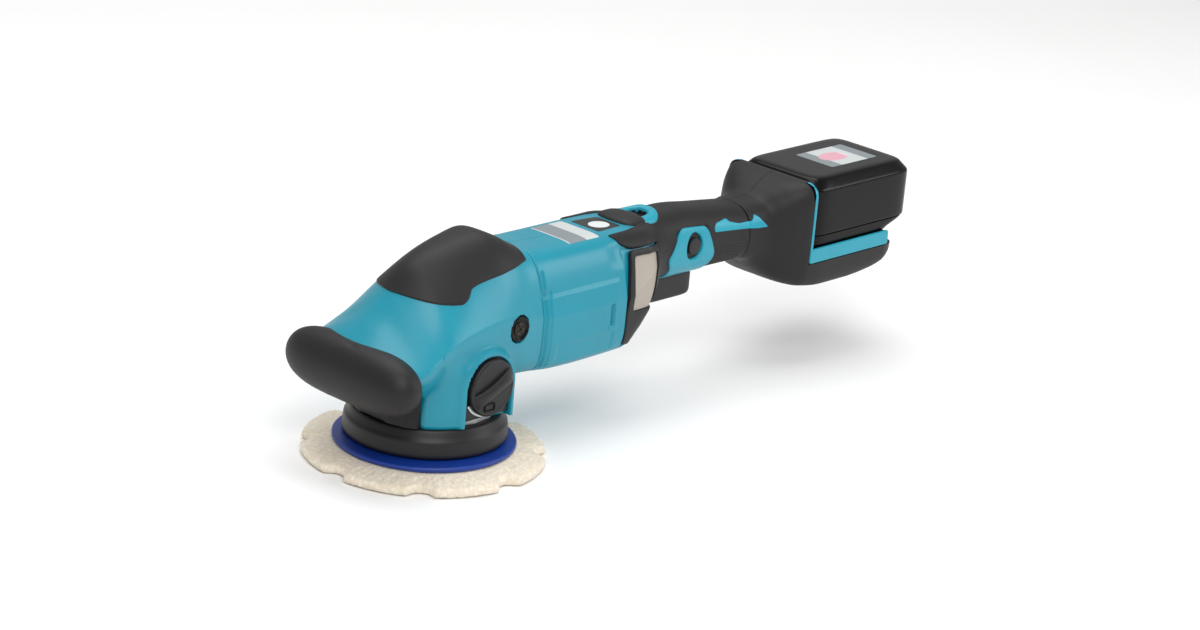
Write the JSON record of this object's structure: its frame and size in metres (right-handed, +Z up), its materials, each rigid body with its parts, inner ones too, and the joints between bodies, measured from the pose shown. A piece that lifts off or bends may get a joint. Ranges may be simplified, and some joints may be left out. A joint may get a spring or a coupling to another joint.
{
  "type": "dual action polisher",
  "caption": "Cordless dual action polisher with a round cutting pad, bar front grip, in-line motor body, rear handle with trigger and a slide-on battery pack.",
  "frame": {"origin": "on the drive axis, in the plane of the polishing pad's working face", "axes": "+X from the nose to the battery, +Z up along the drive axis, -Y the side of the change knob"},
  "size_m": [0.5256, 0.1592, 0.1444],
  "materials": {
    "felt": "short-pile wool",
    "backing": "moulded polyurethane",
    "steel": "ground",
    "laminations": "stacked laminations",
    "copper": "enamelled wire",
    "black_plastic": "moulded",
    "cast_alloy": "die cast",
    "charcoal_plastic": "moulded",
    "teal_plastic": "semi-gloss moulded",
    "soft_grip": "moulded elastomer",
    "mesh": "woven screen",
    "battery_shell": "semi-gloss moulded",
    "cell_wrap": "wrapped cells"
  },
  "bodies": {
    "housing": {"spindle_lower_bearing": "steel", "spindle_upper_bearing": "steel", "ring_gear": "steel", "motor_front_bearing": "steel", "motor_rear_bearing": "steel", "dial_post": "steel", "stator_core": "laminations", "stator_winding_front": "copper", "stator_winding_rear": "copper", "rear_bearing_plate": "black_plastic", "controller": "cast_alloy", "gear_case": "cast_alloy", "skirt": "charcoal_plastic", "head_cover": "teal_plastic", "saddle_grip": "soft_grip", "nose_grip": "soft_grip", "front_bumper": "soft_grip", "knob_plate": "black_plastic", "side_plug_left": "black_plastic", "side_plug_right": "black_plastic", "housing_left": "teal_plastic", "grip_left": "soft_grip", "switch_bezel_left": "teal_plastic", "tail_shell_left": "black_plastic", "housing_right": "teal_plastic", "grip_right": "soft_grip", "switch_bezel_right": "teal_plastic", "tail_shell_right": "black_plastic", "switch_body": "black_plastic", "rail_bed": "teal_plastic", "terminal_block": "black_plastic"},
    "pad": {"polishing_pad": "felt", "backing_pad": "backing", "pad_bolt": "steel", "pad_spindle": "steel", "pad_gear": "steel"},
    "orbit": {"drive_spindle": "steel", "counterweight": "steel", "bevel_wheel": "steel", "pad_bearing": "steel"},
    "rotor": {"motor_pinion": "steel", "rotor_shaft": "steel", "rotor_core": "laminations", "motor_fan": "black_plastic"},
    "filter_left": {"filter_frame_left": "charcoal_plastic", "filter_mesh_left": "mesh"},
    "filter_right": {"filter_frame_right": "charcoal_plastic", "filter_mesh_right": "mesh"},
    "change_knob": {"change_knob": "black_plastic"},
    "trigger": {"trigger": "charcoal_plastic"},
    "lock_button": {"lock_button": "charcoal_plastic"},
    "speed_dial": {"speed_dial": "black_plastic"},
    "battery": {"battery_case": "battery_shell", "battery_base": "battery_shell", "cell_pack": "cell_wrap"},
    "battery_release": {"battery_release": "charcoal_plastic"}
  },
  "joints": [
    {"name": "orbit_spin", "type": "hinge", "parent": "housing", "child": "orbit", "pos_m": [0, 0, 0.05], "axis": [0, 0, 1], "continuous": true},
    {"name": "pad_spin", "type": "hinge", "parent": "orbit", "child": "pad", "pos_m": [-0.00389, -0.00389, 0.03], "axis": [0, 0, 1], "continuous": true},
    {"name": "rotor_spin", "type": "hinge", "parent": "housing", "child": "rotor", "pos_m": [0.09, 0, 0.087], "axis": [1, 0, 0], "continuous": true},
    {"name": "trigger_press", "type": "slide", "parent": "housing", "child": "trigger", "axis": [0, 0, 1], "range_m": [0, 0.005], "stiffness_N_per_m": 800, "springref_m": -0.0015},
    {"name": "lock_button_press", "type": "slide", "parent": "housing", "child": "lock_button", "axis": [0, 1, 0], "range_m": [0, 0.004], "stiffness_N_per_m": 400, "springref_m": -0.001},
    {"name": "speed_dial_turn", "type": "hinge", "parent": "housing", "child": "speed_dial", "pos_m": [0.183, 0, 0.116], "axis": [0, 1, 0], "range_deg": [0, 240]},
    {"name": "change_knob_turn", "type": "hinge", "parent": "housing", "child": "change_knob", "pos_m": [0.008, -0.048, 0.056], "axis": [0, -1, 0], "range_deg": [0, 90]},
    {"name": "filter_left_pull", "type": "slide", "parent": "housing", "child": "filter_left", "axis": [0, -1, 0], "range_m": [0, 0.02]},
    {"name": "filter_right_pull", "type": "slide", "parent": "housing", "child": "filter_right", "axis": [0, 1, 0], "range_m": [0, 0.02]},
    {"name": "battery_slide", "type": "slide", "parent": "housing", "child": "battery", "axis": [1, 0, 0], "range_m": [0, 0.1]},
    {"name": "battery_release_press", "type": "slide", "parent": "battery", "child": "battery_release", "axis": [0, 0, 1], "range_m": [0, 0.004], "stiffness_N_per_m": 600, "springref_m": -0.0015}
  ],
  "couplings": [
    {"joint": "pad_spin", "follows": "orbit_spin", "ratio": -1.1282},
    {"joint": "rotor_spin", "follows": "orbit_spin", "ratio": 3.7}
  ]
}
